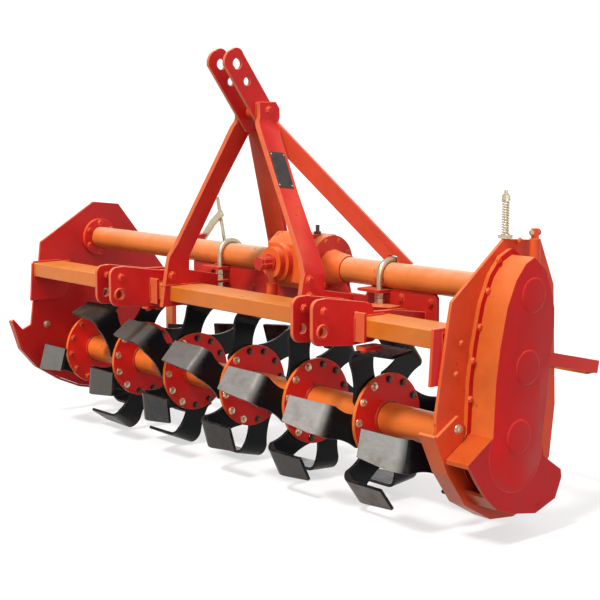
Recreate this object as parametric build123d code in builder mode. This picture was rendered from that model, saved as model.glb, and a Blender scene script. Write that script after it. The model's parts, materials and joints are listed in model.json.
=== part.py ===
from build123d import *
import math
import os

os.makedirs("parts", exist_ok=True)

# Rotary tiller. Millimetres, +Z up, +Y to the rear, +X towards the side drive.
# Sketches use machine coordinates: x from the first rotor disc, y and z from the rotor axis.
disc_count = 7
disc_pitch = 250
disc_radius = 106
disc_thick = 10
blade_face = 185
blade_lead = 91
blade_trail = 18
blade_thick = 8
blade_reach = 135
blade_step = 10.5

plate_left_x = -100
plate_right_x = 1570
plate_thick = 8

tube_y = 75
tube_z = 322
tube_radius = 31
tube_wall = 6

beam_front = -155
beam_depth = 100
beam_low = 218
beam_high = 258
beam_wall = 6

mast_x = 865
leg_spread = 273
leg_thick = 14
ear_spread = 31
ear_thick = 8
top_pin_radius = 13.1
second_pin_radius = 9.9
lower_pin_radius = 11.2

case_depth = 72
flange_thick = 10
shaft_radius = 38
journal_radius = 20
running_gap = 0.05
input_radius = 17.4
input_journal = 22


def blade_angle(index, turn):
    return 75.5 - blade_step * index + 60 * turn


# The end discs carry only the blades that bend inwards.
def blade_turns(index):
    if index == 0:
        return (1, 3, 5)
    if index == disc_count - 1:
        return (0, 2, 4)
    return (0, 1, 2, 3, 4, 5)


def reach_down(angle):
    rise = math.sin(math.radians(angle))
    run = math.cos(math.radians(angle))
    return max(-(blade_face * rise + across * run) for across in (-blade_lead, -blade_trail))


axis_z = max(reach_down(blade_angle(i, k)) for i in range(disc_count) for k in blade_turns(i))

bearing_depth = 40
boss_height = 5
front_y = -285
rear_y = 346
x_low = plate_left_x - plate_thick - bearing_depth
x_high = plate_right_x + plate_thick + case_depth + boss_height
x_mid = (x_low + x_high) / 2
y_mid = (front_y + rear_y) / 2


def side(x):
    return Plane(origin=(x - x_mid, -y_mid, axis_z), x_dir=(0, 1, 0), z_dir=(1, 0, 0))


def front(y):
    return Plane(origin=(-x_mid, y - y_mid, axis_z), x_dir=(1, 0, 0), z_dir=(0, -1, 0))


def level(z):
    return Plane(origin=(-x_mid, -y_mid, axis_z + z), x_dir=(1, 0, 0), z_dir=(0, 0, 1))


def finish(part, name):
    part.label = name
    export_step(part, f"parts/{name}.step")


def band(points, width):
    left = []
    right = []
    count = len(points)
    for k in range(count):
        ahead = points[min(k + 1, count - 1)]
        here = points[k]
        back = points[max(k - 1, 0)]
        u = (Vector(*here) - Vector(*back)).normalized() if k > 0 else None
        v = (Vector(*ahead) - Vector(*here)).normalized() if k < count - 1 else None
        u = u or v
        v = v or u
        mean = (u + v).normalized()
        normal = Vector(-mean.Y, mean.X)
        scale = width / 2 / max(0.2, normal.dot(Vector(-u.Y, u.X)))
        left.append((here[0] + normal.X * scale, here[1] + normal.Y * scale))
        right.append((here[0] - normal.X * scale, here[1] - normal.Y * scale))
    return left + right[::-1]


# Side plates: one outline above, a hooked runner on the left, a round heel on the right.
left_outline = [
    (60, 430), (150, 420), (324, 202), (316, 176), (215, 40), (200, -90), (150, -140), (95, -148),
    (57, -142), (-3, -129), (-68, -100), (-145, -52), (-195, 5), (-228, 86), (-223, 95),
    (-193, 62), (-165, 74), (-155, 146), (-133, 262), (-126, 318),
]
right_outline = [
    (23, 440), (143, 430), (190, 330), (205, 60), (190, -60), (140, -118), (70, -142), (-5, -142),
    (-78, -100), (-132, -30), (-177, 41), (-177, 84), (-144, 276), (-135, 319),
]

with BuildPart() as side_plate_left:
    with BuildSketch(side(plate_left_x - plate_thick)):
        with BuildLine():
            Polyline(*left_outline, close=True)
        make_face()
        Circle(30, mode=Mode.SUBTRACT)
    extrude(amount=plate_thick)

with BuildPart() as side_plate_right:
    with BuildSketch(side(plate_right_x)):
        with BuildLine():
            Polyline(*right_outline, close=True)
        make_face()
        Circle(30, mode=Mode.SUBTRACT)
    extrude(amount=plate_thick)

# Rotor bearings on the outside of the plates.
with BuildPart() as bearing_left:
    with BuildSketch(side(plate_left_x - plate_thick)):
        Circle(72)
    extrude(amount=-12)
    with BuildSketch(side(plate_left_x - plate_thick - 12)):
        Circle(46)
    extrude(amount=-(bearing_depth - 12))
    with BuildSketch(side(plate_left_x - plate_thick)):
        Circle(journal_radius + running_gap)
    extrude(amount=-(bearing_depth - 8), mode=Mode.SUBTRACT)

with BuildPart() as bearing_right:
    with BuildSketch(side(plate_right_x + plate_thick)):
        Circle(48)
        Circle(journal_radius + running_gap, mode=Mode.SUBTRACT)
    extrude(amount=28)

# Rotor: a tube with turned ends and seven welded discs.
tube_end_left = plate_left_x + 8
tube_end_right = plate_right_x - 8
with BuildPart() as rotor_shaft:
    with BuildSketch(side(tube_end_left)):
        Circle(shaft_radius)
    extrude(amount=tube_end_right - tube_end_left)
    with BuildSketch(side(plate_left_x - plate_thick - bearing_depth + 10)):
        Circle(journal_radius)
    extrude(amount=plate_right_x + plate_thick + 26 - (plate_left_x - plate_thick - bearing_depth + 10))

for i in range(disc_count):
    with BuildPart() as disc:
        with BuildSketch(side(i * disc_pitch - disc_thick / 2)):
            Circle(disc_radius)
            Circle(shaft_radius, mode=Mode.SUBTRACT)
        extrude(amount=disc_thick)
        chamfer(disc.edges().filter_by(GeomType.CIRCLE).sort_by(SortBy.RADIUS)[-2:], 1.2)
    finish(disc.part, f"rotor_disc_{i + 1}")

# One blade of each hand, shank against the disc's left face, tip plate square to it.
bend = 24


def blade_profile(hand):
    inner = -blade_thick if hand < 0 else 0
    outer = 0 if hand < 0 else -blade_thick
    top = blade_face
    low = blade_face - blade_thick
    end = outer + hand * blade_reach
    with BuildSketch() as shape:
        with BuildLine():
            a = Line((outer, 30), (outer, top - bend - blade_thick))
            b = ThreePointArc(
                a @ 1,
                (outer + hand * (bend + blade_thick) * (1 - math.sqrt(0.5)),
                 top - (bend + blade_thick) * (1 - math.sqrt(0.5))),
                (outer + hand * (bend + blade_thick), top),
            )
            c = Line(b @ 1, (end, top))
            d = Line(c @ 1, (end, low))
            e = Line(d @ 1, (inner + hand * bend, low))
            f = ThreePointArc(
                e @ 1,
                (inner + hand * bend * (1 - math.sqrt(0.5)), low - bend * (1 - math.sqrt(0.5))),
                (inner, low - bend),
            )
            g = Line(f @ 1, (inner, 30))
            Line(g @ 1, (outer, 30))
        make_face()
    return shape.sketch


def blade_outline():
    with BuildSketch() as shape:
        with BuildLine():
            a = Polyline((-80, 38), (-26, 60), (-15, 88))
            b = ThreePointArc(a @ 1, (-21, 110), (-16, 160))
            c = Polyline(
                b @ 1, (-blade_trail, blade_face), (-blade_trail, blade_face + 4),
                (-blade_lead, blade_face + 4), (-blade_lead, 150),
            )
            d = ThreePointArc(c @ 1, (-84, 105), (-90, 60))
            Line(d @ 1, a @ 0)
        make_face()
    return shape.sketch


def blade_corner(hand):
    outer = 0 if hand < 0 else -blade_thick
    end = outer + hand * (blade_reach + 1)
    with BuildSketch() as shape:
        with BuildLine():
            Polyline(
                (outer + hand * 40, -blade_lead - 1), (outer + hand * 40, -blade_lead),
                (end, -blade_lead + 10), (end, -blade_lead - 1), close=True,
            )
        make_face()
    return shape.sketch


blade_across = Plane(origin=(0, 0, 0), x_dir=(1, 0, 0), z_dir=(0, -1, 0))
blade_along = Plane(origin=(0, 0, 0), x_dir=(0, 1, 0), z_dir=(1, 0, 0))
blade_above = Plane(origin=(0, 0, 0), x_dir=(1, 0, 0), z_dir=(0, 0, 1))
with BuildPart() as blade_left:
    with BuildSketch(blade_across):
        add(blade_profile(-1))
    extrude(amount=120, both=True)
    with BuildSketch(blade_along):
        add(blade_outline())
    extrude(amount=160, both=True, mode=Mode.INTERSECT)
    with BuildSketch(blade_above):
        add(blade_corner(-1))
    extrude(amount=220, mode=Mode.SUBTRACT)

with BuildPart() as blade_right:
    with BuildSketch(blade_across):
        add(blade_profile(1))
    extrude(amount=120, both=True)
    with BuildSketch(blade_along):
        add(blade_outline())
    extrude(amount=160, both=True, mode=Mode.INTERSECT)
    with BuildSketch(blade_above):
        add(blade_corner(1))
    extrude(amount=220, mode=Mode.SUBTRACT)

for i in range(disc_count):
    face_x = i * disc_pitch - disc_thick / 2 - x_mid
    with BuildPart() as blades:
        for turn in blade_turns(i):
            pick = blade_left if turn % 2 == 0 else blade_right
            spin = 90 - blade_angle(i, turn)
            with Locations(Location((face_x, -y_mid, axis_z), (spin, 0, 0))):
                add(pick.part)
    finish(blades.part, f"blades_{i + 1}")

# Main tube in two halves, with end flanges on the plates.
box_left = mast_x - 52
box_right = mast_x + 82
cover_left = 14
cover_right = 30
neck_long = 60
tube_stop_left = box_left - cover_left - neck_long
tube_stop_right = box_right + cover_right + neck_long
input_z = tube_z + 11


def tube_half(start, stop):
    with BuildPart() as half:
        with BuildSketch(side(start)):
            with Locations((tube_y, tube_z)):
                Circle(tube_radius)
                Circle(tube_radius - tube_wall, mode=Mode.SUBTRACT)
        extrude(amount=stop - start)
    return half


main_tube_left = tube_half(plate_left_x + 12, tube_stop_left)
main_tube_right = tube_half(tube_stop_right, plate_right_x - 12)

with BuildPart() as tube_flanges:
    for x in (plate_left_x, plate_right_x - 12):
        with BuildSketch(side(x)):
            with Locations((tube_y, tube_z)):
                Circle(56)
        extrude(amount=12)

# Bevel gearbox: cast box, side covers with tapered necks, input housing in front.
box_back = tube_y + 62
box_front = 2
with BuildPart() as gearbox:
    with BuildSketch(side(box_left)):
        with BuildLine():
            Polyline(
                (box_front, tube_z - 38), (box_front + 12, tube_z - 54), (box_back - 14, tube_z - 54),
                (box_back, tube_z - 38), (box_back, tube_z + 50), (box_back - 26, tube_z + 78),
                (box_front + 34, tube_z + 82), (box_front, tube_z + 56), close=True,
            )
        make_face()
    extrude(amount=box_right - box_left)
    fillet(gearbox.edges().filter_by(Axis.X), 6)
    with BuildSketch(front(box_front)):
        with Locations((mast_x, input_z)):
            Circle(48)
    extrude(amount=16)
    with BuildSketch(front(box_front - 16)):
        with Locations((mast_x, input_z)):
            Circle(38)
    extrude(amount=18)
    with BuildSketch(front(box_front - 34)):
        with Locations((mast_x, input_z)):
            Circle(input_journal + running_gap)
    extrude(amount=-60, mode=Mode.SUBTRACT)

with BuildPart() as gearbox_covers:
    for face, hand, cover_wide, cover_radius in ((box_left, -1, cover_left, 62), (box_right, 1, cover_right, 68)):
        with BuildSketch(side(face)):
            with Locations((tube_y, tube_z + 12)):
                Circle(cover_radius)
        extrude(amount=hand * cover_wide)
        with BuildSketch(side(face + hand * cover_wide)):
            with Locations((tube_y, tube_z)):
                Circle(44)
        with BuildSketch(side(face + hand * (cover_wide + neck_long))):
            with Locations((tube_y, tube_z)):
                Circle(tube_radius + 3)
        loft()

with BuildPart() as breather:
    with BuildSketch(level(tube_z + 80)):
        with Locations((mast_x + 70, box_front + 60)):
            Circle(9)
    extrude(amount=8)
    with BuildSketch(level(tube_z + 88)):
        with Locations((mast_x + 70, box_front + 60)):
            Circle(5)
    extrude(amount=16)
    add(gearbox.part, mode=Mode.SUBTRACT)

# Drain spout under the input housing.
with BuildPart() as drain_spout:
    with BuildSketch(level(240)):
        with Locations((mast_x, box_front - 30)):
            Circle(14)
    extrude(amount=42)
    with BuildSketch(level(282)):
        with Locations((mast_x, box_front - 30)):
            Circle(9)
    extrude(amount=40)
    with BuildSketch(front(box_front - 14)):
        with Locations((mast_x, input_z)):
            Circle(38)
    extrude(amount=60, mode=Mode.SUBTRACT)
    with BuildSketch(front(box_front)):
        with Locations((mast_x, input_z)):
            Circle(48)
    extrude(amount=16, mode=Mode.SUBTRACT)

# Input shaft for the drive line: a journal in the housing, then the splined end forward.
input_start = box_front + 20
input_step = box_front - 40
with BuildPart() as input_shaft:
    with BuildSketch(front(input_start)):
        with Locations((mast_x, input_z)):
            Circle(input_journal)
    extrude(amount=input_start - input_step)
    with BuildSketch(front(input_step)):
        with Locations((mast_x, input_z)):
            Circle(input_radius)
    extrude(amount=34)

# Front beam with bracket plates at its ends.
with BuildPart() as front_beam:
    with BuildSketch(side(plate_left_x)):
        with BuildLine():
            Polyline(
                (beam_front, beam_low), (beam_front + beam_depth, beam_low),
                (beam_front + beam_depth, beam_high), (beam_front, beam_high), close=True,
            )
        make_face()
        offset(amount=-beam_wall, mode=Mode.SUBTRACT)
    extrude(amount=plate_right_x - plate_left_x)


with BuildPart() as beam_block:
    with BuildSketch(side(plate_left_x)):
        with Locations((beam_front + beam_depth / 2, (beam_low + beam_high) / 2)):
            Rectangle(beam_depth, beam_high - beam_low)
    extrude(amount=plate_right_x - plate_left_x)


with BuildPart() as beam_ends:
    for x, end_front, rise in ((plate_left_x, -168, 0), (plate_right_x - 8, -187, 8)):
        with BuildSketch(side(x)):
            with BuildLine():
                Polyline(
                    (end_front, 146), (-60, 146), (-30, 190), (-30, beam_high + rise),
                    (end_front + 8, beam_high + rise), close=True,
                )
            make_face()
        extrude(amount=8)
    add(beam_block.part, mode=Mode.SUBTRACT)

# Upright web that carries the tube, lower under the clamp plates, with a hand hole beside one.
web_y = 60
lug_thick = 7
bolt_xs = (566, 1184)
web_top = tube_z - tube_radius - lug_thick
web_seat = tube_z - tube_radius + 2
web_gap = web_top - 16
with BuildPart() as tube_web:
    with BuildSketch(front(web_y)):
        with BuildLine():
            a = Line((415, beam_low), (1347, beam_low))
            b = Line(a @ 1, (1347, web_seat - 14))
            c = ThreePointArc(b @ 1, (1343, web_seat - 4), (1333, web_seat))
            d = Polyline(
                c @ 1, (bolt_xs[1] + 16, web_seat), (bolt_xs[1] + 16, web_top), (bolt_xs[1] - 64, web_top),
                (bolt_xs[1] - 72, web_gap), (bolt_xs[1] - 132, web_gap), (bolt_xs[1] - 140, web_seat),
                (bolt_xs[0] + 16, web_seat), (bolt_xs[0] + 16, web_top), (bolt_xs[0] - 64, web_top),
                (bolt_xs[0] - 66, web_seat), (415, web_seat),
            )
            Line(d @ 1, a @ 0)
        make_face()
    extrude(amount=-10)
    with BuildSketch(side(plate_left_x)):
        with Locations((tube_y, tube_z)):
            Circle(tube_radius)
    extrude(amount=plate_right_x - plate_left_x, mode=Mode.SUBTRACT)
    add(gearbox.part, mode=Mode.SUBTRACT)
    add(gearbox_covers.part, mode=Mode.SUBTRACT)

# U-bolts hold the tube down on thin plates over the web.
bolt_rod = 7
bolt_reach = tube_radius + bolt_rod
nut_high = 13
tab_low = beam_high - 8
tab_thick = 7
with BuildPart() as clamp_lugs:
    for x in bolt_xs:
        with BuildSketch(level(web_top)):
            with Locations((x - 23, tube_y)):
                Rectangle(74, 2 * tube_radius + 44)
            with Locations((x, tube_y - bolt_reach), (x, tube_y + bolt_reach)):
                Circle(bolt_rod + 0.4, mode=Mode.SUBTRACT)
        extrude(amount=lug_thick)

u_bolts = {}
for name, x in (("u_bolt_left", bolt_xs[0]), ("u_bolt_right", bolt_xs[1])):
    with BuildPart() as u_bolt:
        with BuildSketch(level(tab_low - nut_high - 5)):
            with Locations((x, tube_y - bolt_reach)):
                Circle(bolt_rod)
        extrude(amount=tube_z - tab_low + nut_high + 5)
        with BuildSketch(level(web_top - nut_high - 5)):
            with Locations((x, tube_y + bolt_reach)):
                Circle(bolt_rod)
        extrude(amount=tube_z - web_top + nut_high + 5)
        with BuildSketch(level(tube_z)):
            with Locations((x, tube_y - bolt_reach)):
                Circle(bolt_rod)
        revolve(axis=Axis((x - x_mid, tube_y - y_mid, axis_z + tube_z), (1, 0, 0)), revolution_arc=-180)
        with BuildSketch(level(web_top - nut_high)):
            with Locations((x, tube_y - bolt_reach), (x, tube_y + bolt_reach)):
                RegularPolygon(12, 6)
        extrude(amount=nut_high)
        for z in (tab_low - nut_high, tab_low + tab_thick):
            with BuildSketch(level(z)):
                with Locations((x, tube_y - bolt_reach)):
                    RegularPolygon(12, 6)
            extrude(amount=nut_high)
    u_bolts[name] = u_bolt
    finish(u_bolt.part, name)

# Lower hitch brackets: two cheek plates each side of the draft ball, notched over the beam
# and run back to the web, with a strap over the beam's front.
cheek_thick = 10
link_y = -258
link_z = 237
bracket_xs = (("hitch_bracket_left", 452, 527, -56), ("hitch_bracket_right", 1240, 1315, -112))
for name, x_a, x_b, crest in bracket_xs:
    with BuildPart() as bracket:
        for x in (x_a, x_b - cheek_thick):
            with BuildSketch(side(x)):
                with BuildLine():
                    a = Polyline((web_y, 224), (-60, 224), (-108, 200), (-180, 198), (-258, 206))
                    b = ThreePointArc(a @ 1, (-278, 213), (front_y, 230))
                    c = Line(b @ 1, (front_y, 286))
                    d = ThreePointArc(c @ 1, (-279, 302), (-264, 308))
                    e = Polyline(d @ 1, (-246, 309), (-177, 298), (-130, 291), (crest - 14, 289))
                    f = ThreePointArc(e @ 1, (crest, 284), (crest + 6, 268))
                    g = Polyline(f @ 1, (-49, 266), (web_y, 250))
                    Line(g @ 1, a @ 0)
                make_face()
                with Locations((link_y, link_z)):
                    Circle(lower_pin_radius, mode=Mode.SUBTRACT)
            extrude(amount=cheek_thick)
        for x in (x_a, x_b):
            with BuildSketch(side(x)):
                with Locations((link_y, link_z)):
                    Circle(lower_pin_radius + 5)
                    Circle(lower_pin_radius, mode=Mode.SUBTRACT)
            extrude(amount=4 if x == x_b else -4)
        with BuildSketch(front(beam_front)):
            with Locations(((x_a + x_b) / 2, 239)):
                Rectangle(x_b - x_a + 60, 66)
        extrude(amount=8)
        add(beam_block.part, mode=Mode.SUBTRACT)
    finish(bracket.part, name)


# Tabs from the brackets' inner cheeks, behind the beam, that take the U-bolts' front legs.
tab_spans = ((bracket_xs[0][2], bolt_xs[0] + 18), (bolt_xs[1] - 18, bracket_xs[1][1]))
with BuildPart() as clamp_tabs:
    for (x_a, x_b), x in zip(tab_spans, bolt_xs):
        with BuildSketch(level(tab_low)):
            with Locations(((x_a + x_b) / 2, -4)):
                Rectangle(x_b - x_a, 112)
            with Locations((x, tube_y - bolt_reach)):
                Circle(bolt_rod + 0.4, mode=Mode.SUBTRACT)
        extrude(amount=tab_thick)
    add(beam_block.part, mode=Mode.SUBTRACT)


# Mast: two front legs bent inwards over gusset plates, ears for the top link, rear stays.
leg_bend_low = 335
leg_bend_high = 680
leg_side = [
    (-180, 205), (-98, 205), (-92, 330), (-75, 520), (-56, 650), (-42, 690), (-42, 712), (-54, 728),
    (-104, 728), (-104, 690), (-112, 667), (-129, 528), (-146, 369), (-160, 318),
]
for name, hand in (("mast_leg_left", -1), ("mast_leg_right", 1)):
    foot = mast_x + hand * (leg_spread - leg_thick / 2)
    head = mast_x + hand * (ear_spread + ear_thick / 2 + leg_thick / 2)
    spine = [(foot, 205), (foot, leg_bend_low), (head, leg_bend_high), (head, 728)]
    with BuildPart() as leg:
        with BuildSketch(front(-200)):
            with BuildLine():
                Polyline(*band(spine, leg_thick), close=True)
            make_face()
        extrude(amount=-200)
        with BuildSketch(side(mast_x - 400)):
            with BuildLine():
                Polyline(*leg_side, close=True)
            make_face()
        extrude(amount=800, mode=Mode.INTERSECT)
        with BuildSketch(side(foot - leg_thick / 2)):
            with BuildLine():
                Polyline((-98, beam_high), (0, beam_high - 20), (0, 278), (-98, 297), close=True)
            make_face()
        extrude(amount=leg_thick)
        add(beam_block.part, mode=Mode.SUBTRACT)
    if hand < 0:
        mast_leg_left = leg
    else:
        mast_leg_right = leg
    finish(leg.part, name)

with BuildPart() as top_ears:
    for hand in (-1, 1):
        with BuildSketch(side(mast_x + hand * ear_spread - ear_thick / 2)):
            with BuildLine():
                a = Polyline((-84, 655), (-42, 655), (-42, 717), (-62, 730), (-142, 841))
                b = ThreePointArc(a @ 1, (-157, 854), (-174, 850))
                c = ThreePointArc(b @ 1, (-192, 838), (-198, 813))
                Line(c @ 1, a @ 0)
            make_face()
            with Locations((-160, 817)):
                Circle(top_pin_radius, mode=Mode.SUBTRACT)
            with Locations((-131, 776)):
                Circle(second_pin_radius, mode=Mode.SUBTRACT)
        extrude(amount=ear_thick)

with BuildPart() as mast_bolt:
    with BuildSketch(side(mast_x - ear_spread + ear_thick / 2)):
        with Locations((-72, 702)):
            Circle(15)
    extrude(amount=2 * ear_spread - ear_thick)


def stay(start, stop, width, thick):
    low = Vector(*stop)
    high = Vector(*start)
    along = high - low
    flat = Vector(along.X, along.Y, 0)
    normal = Vector(flat.Y, -flat.X, 0).normalized()
    centre = (low + high) / 2
    place = Plane(
        origin=(centre.X - x_mid, centre.Y - y_mid, centre.Z + axis_z),
        x_dir=along.normalized(), z_dir=normal,
    )
    with BuildPart() as bar:
        with BuildSketch(place):
            Rectangle(along.length, width)
        extrude(amount=thick / 2, both=True)
    return bar.part


stay_thick = 12
with BuildPart() as mast_stay_right:
    add(stay((mast_x + 36, -57, 665), (1211, tube_y + 25, tube_z + 13), 44, stay_thick))
    with BuildSketch(side(mast_x - 400)):
        with Locations((tube_y, tube_z)):
            Circle(tube_radius)
    extrude(amount=1000, mode=Mode.SUBTRACT)
    with BuildSketch(side(bolt_xs[1] - bolt_rod - 2)):
        with Locations((tube_y, tube_z)):
            Circle(tube_radius + 2 * bolt_rod + 2)
    extrude(amount=2 * bolt_rod + 4, mode=Mode.SUBTRACT)
    with BuildSketch(side(mast_x)):
        with Locations((0, 600)):
            Rectangle(300, 400)
    extrude(amount=ear_spread + ear_thick / 2 + leg_thick, mode=Mode.SUBTRACT)
    add(mast_leg_right.part, mode=Mode.SUBTRACT)
    add(top_ears.part, mode=Mode.SUBTRACT)

# The left stay is a flat plate that leans back onto the gearbox.
lean_low = (80, tube_z + 30)
lean_high = (-46, 662)
lean = Vector(0, lean_high[0] - lean_low[0], lean_high[1] - lean_low[1])
with BuildPart() as mast_stay_left:
    lean_plane = Plane(
        origin=(-x_mid, lean_low[0] - y_mid, lean_low[1] + axis_z), x_dir=(1, 0, 0),
        z_dir=Vector(1, 0, 0).cross(lean.normalized()),
    )
    with BuildSketch(lean_plane):
        with BuildLine():
            Polyline(
                (mast_x - 135, 0), (mast_x - 62, 0), (mast_x + 5, lean.length), (mast_x - 66, lean.length),
                close=True,
            )
        make_face()
    extrude(amount=stay_thick / 2, both=True)
    with BuildSketch(side(mast_x - 400)):
        with Locations((tube_y, tube_z)):
            Circle(tube_radius)
    extrude(amount=400, mode=Mode.SUBTRACT)
    add(gearbox.part, mode=Mode.SUBTRACT)
    add(gearbox_covers.part, mode=Mode.SUBTRACT)
    add(mast_leg_left.part, mode=Mode.SUBTRACT)
    add(top_ears.part, mode=Mode.SUBTRACT)

# Side drive case on the right plate: bolted flange, deep box, embossed outer face.
case_x = plate_right_x + plate_thick
case_front = [(37, 406), (10, 394), (-20, 361), (-46, 306), (-66, 222), (-77, 150), (-82, 36)]
case_back = [(74, 8), (89, 107), (98, 194), (107, 250), (106, 292), (94, 334), (74, 378)]


def case_outline(grow):
    with BuildSketch() as outline:
        with BuildLine():
            front_edge = Polyline(*case_front)
            heel = ThreePointArc(front_edge @ 1, (4, -88), case_back[0])
            back_edge = Polyline(*case_back)
            Line(back_edge @ 1, front_edge @ 0)
        make_face()
        if grow:
            offset(amount=grow)
    return outline.sketch


with BuildPart() as gear_case:
    with BuildSketch(side(case_x)):
        add(case_outline(13))
    extrude(amount=flange_thick)
    with BuildSketch(side(case_x + flange_thick)):
        add(case_outline(0))
    extrude(amount=case_depth - flange_thick)
    with BuildSketch(side(case_x)):
        add(case_outline(-8))
    extrude(amount=case_depth - 7, mode=Mode.SUBTRACT)
    with BuildSketch(side(case_x + case_depth)):
        with Locations((36, 326), (22, 174), (-2, 28)):
            Circle(38)
    extrude(amount=boss_height, taper=30)

# Heel guard: outer plate in line with the case face, a shelf in front and a wall below.
guard_edge = [
    (-82, 38), (-157, -7), (-129, -50), (-104, -83), (-65, -119), (-15, -136), (58, -149), (124, -128),
    (144, -84), (141, -66), (83, -27), (74, 8),
]
with BuildPart() as lower_guard:
    with BuildSketch(side(case_x + case_depth - 8)):
        Polygon(*guard_edge, align=None)
    extrude(amount=8)
    with BuildSketch(side(case_x + flange_thick)):
        Polygon((-80, 40), (-157, -7), (-157, -16), (-80, 30), align=None)
    extrude(amount=case_depth - flange_thick)
    with BuildSketch(side(case_x + 8)):
        Polygon(*band([(-100, -84), (-63, -116), (-15, -132), (58, -145), (122, -124)], 8), align=None)
    extrude(amount=case_depth - 8)
    with BuildSketch(side(case_x)):
        add(case_outline(0))
    extrude(amount=case_depth, mode=Mode.SUBTRACT)
    with BuildSketch(side(case_x)):
        add(case_outline(13))
    extrude(amount=flange_thick, mode=Mode.SUBTRACT)

# Runners: a bolted web and a sole along each plate's lower edge.
sole_width = 46
left_sole = 20
runner_right = [(-188, 46), (-146, -40), (-92, -115), (-12, -160), (60, -168), (135, -150)]
with BuildPart() as runner_right_side:
    with BuildSketch(side(case_x + 8 - sole_width)):
        Polygon(*band(runner_right, 7), align=None)
    extrude(amount=sole_width)
    with BuildSketch(side(case_x)):
        Polygon(
            (-185, 42), (-119, 80), (-100, 62), (-104, 10), (-84, -48), (-36, -100), (60, -126), (126, -112),
            (133, -150), (60, -166), (-12, -158), (-92, -113), (-145, -38), align=None,
        )
    extrude(amount=8)
    add(side_plate_right.part, mode=Mode.SUBTRACT)
    with BuildSketch(side(case_x)):
        add(case_outline(13))
    extrude(amount=flange_thick, mode=Mode.SUBTRACT)
    add(lower_guard.part, mode=Mode.SUBTRACT)

runner_left = [(-226, 90), (-198, 4), (-147, -55), (-69, -104), (-3, -133), (58, -146), (120, -150), (150, -144)]
with BuildPart() as runner_left_side:
    with BuildSketch(side(plate_left_x - left_sole)):
        Polygon(*band(runner_left, 6), align=None)
    extrude(amount=left_sole)
    add(side_plate_left.part, mode=Mode.SUBTRACT)

# Sprung rod and pin post on top of the case.
with BuildPart() as spring_rod:
    with BuildSketch(level(440)):
        with Locations((plate_right_x + 4, 30)):
            Rectangle(22, 22)
    extrude(amount=8)
    with BuildSketch(level(448)):
        with Locations((plate_right_x + 4, 30)):
            Circle(4)
    extrude(amount=95)
    with BuildSketch(level(522)):
        with Locations((plate_right_x + 4, 30)):
            Circle(9)
    extrude(amount=10)
    add(side_plate_right.part, mode=Mode.SUBTRACT)

with BuildPart() as rod_spring:
    with BuildSketch(level(448)):
        with Locations((plate_right_x + 4, 30)):
            Circle(9)
            Circle(4, mode=Mode.SUBTRACT)
    extrude(amount=74)

with BuildPart() as case_post:
    with BuildSketch(level(330)):
        with Locations((case_x + 32, 84)):
            Circle(12)
    extrude(amount=109)
    with BuildSketch(level(439)):
        with Locations((case_x + 32, 84)):
            RegularPolygon(9, 6)
    extrude(amount=22)
    with BuildSketch(side(case_x)):
        add(case_outline(0))
    extrude(amount=case_depth, mode=Mode.SUBTRACT)

# Rear arms, the bar between them and the two parking legs.
bar_low = 111
bar_high = 141
arm_line = band([(125, 176), (rear_y, 126)], 30)
for name, x in (("rear_arm_left", plate_left_x - plate_thick - 10), ("rear_arm_right", case_x)):
    with BuildPart() as arm:
        with BuildSketch(side(x)):
            Polygon(*arm_line, align=None)
        extrude(amount=10)
        if x > 0:
            with BuildSketch(side(case_x)):
                add(case_outline(13))
            extrude(amount=flange_thick, mode=Mode.SUBTRACT)
    finish(arm.part, name)

with BuildPart() as rear_bar:
    with BuildSketch(side(plate_left_x - plate_thick)):
        with Locations((rear_y - 15, (bar_low + bar_high) / 2)):
            Rectangle(30, 30)
            Rectangle(22, 22, mode=Mode.SUBTRACT)
    extrude(amount=case_x - plate_left_x + plate_thick)

for name, x in (("parking_leg_left", -50), ("parking_leg_right", 1300)):
    with BuildPart() as leg:
        with BuildSketch(level(-axis_z)):
            with Locations((x, rear_y - 38)):
                Rectangle(36, 16)
        extrude(amount=axis_z + 150)
        with BuildSketch(level(-axis_z)):
            with Locations((x, rear_y - 38)):
                Rectangle(70, 60)
        extrude(amount=8)
    finish(leg.part, name)

# Small hand lever and link behind the left tube.
lever_face = tube_y + 55
with BuildPart() as lever_bracket:
    with BuildSketch(side(346)):
        with BuildLine():
            Polyline(
                (tube_y, tube_z + 23), (tube_y + 22, tube_z + 34), (lever_face, tube_z + 40),
                (lever_face, tube_z + 14), (tube_y + 26, tube_z), close=True,
            )
        make_face()
    extrude(amount=26)
    with BuildSketch(side(300)):
        with Locations((tube_y, tube_z)):
            Circle(tube_radius)
    extrude(amount=200, mode=Mode.SUBTRACT)

with BuildPart() as lever_arm:
    with BuildSketch(front(lever_face + 8)):
        with BuildLine():
            Polyline(*band([(353, tube_z + 18), (405, tube_z + 71), (449, tube_z + 103)], 20), close=True)
        make_face()
    extrude(amount=8)
    with BuildSketch(front(lever_face + 14)):
        with BuildLine():
            Polyline(*band([(419, tube_z + 144), (451, tube_z + 23)], 9), close=True)
        make_face()
    extrude(amount=6)

# Plain plate on the right mast leg, square to the leg's lean both ways.
leg_rise = leg_bend_high - leg_bend_low
leg_run = leg_spread - leg_thick / 2 - ear_spread - ear_thick / 2 - leg_thick / 2
leg_lean = math.atan2(leg_run, leg_rise)
plate_z = 564
plate_y = -99
plate_tilt = 8
with BuildPart() as blank_plate:
    leg_x = mast_x + ear_spread + ear_thick / 2 + leg_thick / 2 + (leg_bend_high - plate_z) * math.tan(leg_lean)
    spot = Plane(
        origin=(
            leg_x + leg_thick / 2 * math.cos(leg_lean) - x_mid, plate_y - y_mid,
            axis_z + plate_z + leg_thick / 2 * math.sin(leg_lean),
        ),
        x_dir=(0, 1, 0), z_dir=(math.cos(leg_lean), 0, math.sin(leg_lean)),
    )
    with BuildSketch(spot):
        Rectangle(42, 98, rotation=-plate_tilt)
    extrude(amount=2)

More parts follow.
